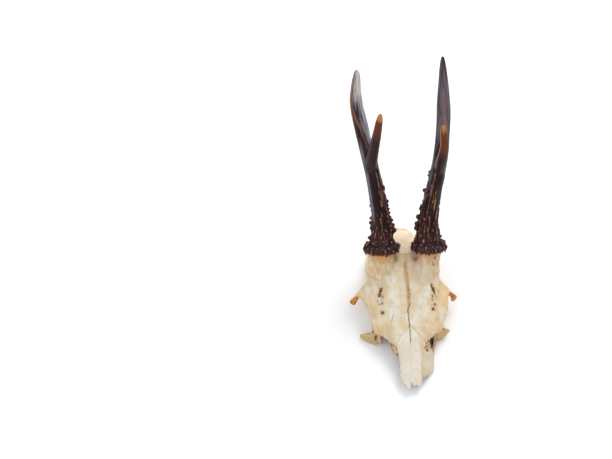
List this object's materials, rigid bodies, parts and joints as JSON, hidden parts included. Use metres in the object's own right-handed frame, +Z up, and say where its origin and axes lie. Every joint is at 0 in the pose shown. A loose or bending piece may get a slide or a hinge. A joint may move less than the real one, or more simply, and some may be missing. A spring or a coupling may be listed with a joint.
{
  "type": "deer skull cap with antlers",
  "caption": "Sawn skull cap of a young roe buck with forked antlers, brow, nose bones and open braincase, lying on its saw cut.",
  "frame": {"origin": "on the plane of the saw cut, under the middle of the overall box", "axes": "+Z up from the saw cut, nose towards -Y, the animal's left side towards +X"},
  "size_m": [0.0904, 0.2086, 0.1933],
  "materials": {
    "bone": "dry, cleaned bone with ochre margins",
    "stained_bone": "thin, yellowed bone with brown stains",
    "antler": "dark brown antler, ridged and beaded low down",
    "polished_antler": "smooth, lighter antler, worn golden at the tips"
  },
  "bodies": {
    "root": {"frontal_right": "bone", "frontal_left": "bone", "nasal_right": "bone", "nasal_left": "bone", "parietal": "bone", "occipital": "bone", "temporal_right": "bone", "temporal_left": "bone", "lacrimal_right": "stained_bone", "lacrimal_left": "stained_bone", "maxilla_right": "stained_bone", "maxilla_left": "stained_bone", "ethmoid": "stained_bone", "antler_right_burr": "antler", "antler_right_beam": "antler", "antler_right_top_tine": "polished_antler", "antler_right_front_tine": "polished_antler", "antler_left_burr": "antler", "antler_left_beam": "antler", "antler_left_top_tine": "polished_antler", "antler_left_front_tine": "polished_antler"}
  },
  "joints": []
}
